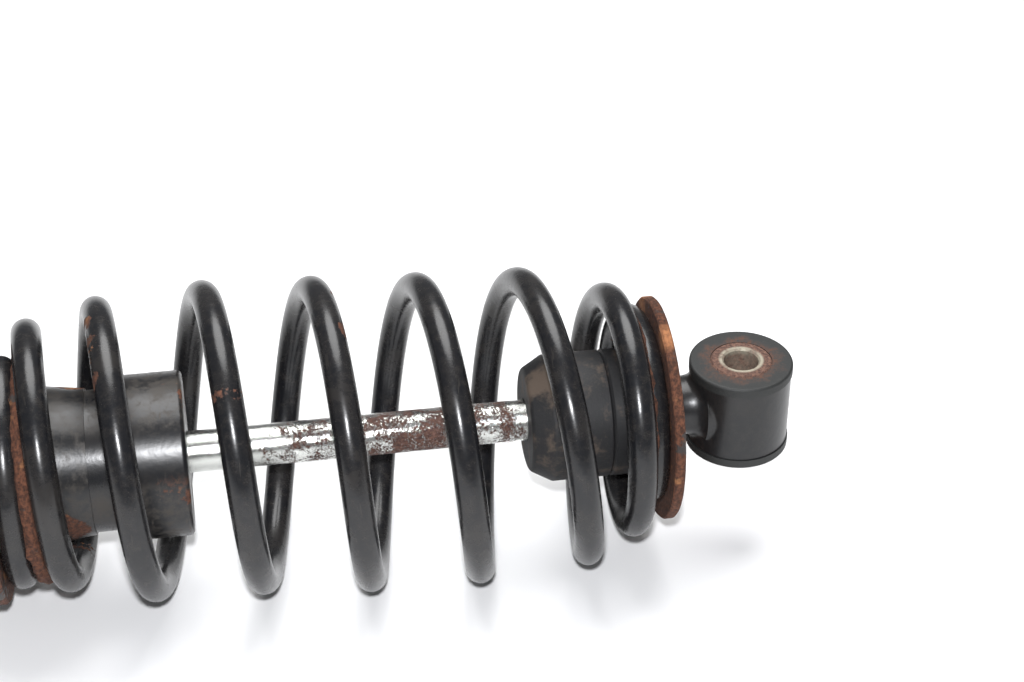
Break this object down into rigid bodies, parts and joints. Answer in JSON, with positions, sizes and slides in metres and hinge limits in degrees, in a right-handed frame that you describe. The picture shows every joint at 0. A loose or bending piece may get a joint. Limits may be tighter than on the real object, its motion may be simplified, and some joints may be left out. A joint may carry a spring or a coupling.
{
  "type": "rear shock absorber",
  "caption": "Coil-over rear shock absorber: telescopic damper in a tapered-end steel spring, rubber-bushed eyes at both ends, stepped preload collar and rubber bump stop.",
  "frame": {"origin": "centre of the body-end eye's bolt hole, on the damper's axis", "axes": "+X runs along the damper's axis from the body-end eye to the rod-end eye, +Z runs along both bolt holes, +Y completes the right-handed frame"},
  "size_m": [0.3652, 0.0912, 0.0912],
  "materials": {
    "eye_paint": "satin black paint, light scuffs",
    "bush_rubber": "dark grey-green rubber, dry and dull",
    "sleeve_steel": "plain steel with a light rust film",
    "tube_paint": "satin black paint with brown dust",
    "cap_paint": "satin black paint, rust spots at the crimped lip",
    "zinc_steel": "zinc-plated steel",
    "bare_steel": "machined steel",
    "cast_guide": "sintered iron",
    "guide_bronze": "bronze-backed bushing",
    "seal_rubber": "moulded nitrile rubber",
    "rod_chrome": "hard chrome, rust pitting over the middle",
    "ring_plastic": "filled PTFE",
    "bump_rubber": "black rubber with brown dirt",
    "rusty_steel": "black paint lost to heavy brown rust",
    "seat_paint": "black paint with rusted flange",
    "cam_zinc": "black plated steel",
    "spring_paint": "semi-gloss black paint with rust chips"
  },
  "bodies": {
    "body_sleeve": {"body_bush_sleeve": "sleeve_steel"},
    "damper": {"body_eye": "eye_paint", "body_bush_rubber": "bush_rubber", "base_cap": "tube_paint", "damper_tube": "tube_paint", "tube_cap": "cap_paint", "cam_stop_pins": "zinc_steel", "base_valve": "bare_steel", "inner_cylinder": "bare_steel", "rod_guide": "cast_guide", "guide_bushing": "guide_bronze", "oil_seal": "seal_rubber", "seal_washer": "bare_steel", "spring": "spring_paint"},
    "spring_seat": {"body_seat": "seat_paint"},
    "preload_collar": {"preload_cam": "cam_zinc"},
    "rod": {"piston_rod": "rod_chrome", "piston": "bare_steel", "piston_ring": "ring_plastic", "piston_nut": "zinc_steel", "compression_shims": "bare_steel", "rebound_shims": "bare_steel", "rebound_stop": "bare_steel", "bump_stop": "bump_rubber", "rod_seat": "rusty_steel", "rod_eye": "eye_paint", "rod_bush_rubber": "bush_rubber"},
    "rod_sleeve": {"rod_bush_sleeve": "sleeve_steel"}
  },
  "joints": [
    {"name": "body_bush_twist", "type": "hinge", "parent": "body_sleeve", "child": "damper", "pos_m": [0, 0, 0], "axis": [0, 0, 1], "range_deg": [-12, 12], "stiffness_Nm_per_rad": 60},
    {"name": "rod_slide", "type": "slide", "parent": "damper", "child": "rod", "axis": [-1, 0, 0], "range_m": [0, 0.093], "stiffness_N_per_m": 16200, "springref_m": -0.012, "deforming": ["spring"]},
    {"name": "rod_bush_twist", "type": "hinge", "parent": "rod", "child": "rod_sleeve", "pos_m": [0.335, 0, 0], "axis": [0, 0, 1], "range_deg": [-12, 12], "stiffness_Nm_per_rad": 60},
    {"name": "seat_lift", "type": "slide", "parent": "damper", "child": "spring_seat", "axis": [1, 0, 0], "range_m": [0, 0.007]},
    {"name": "collar_turn", "type": "hinge", "parent": "spring_seat", "child": "preload_collar", "pos_m": [0.11, 0, 0], "axis": [1, 0, 0], "range_deg": [0, 144]}
  ],
  "couplings": [
    {"joint": "collar_turn", "follows": "seat_lift", "rad_per_m": 359}
  ]
}
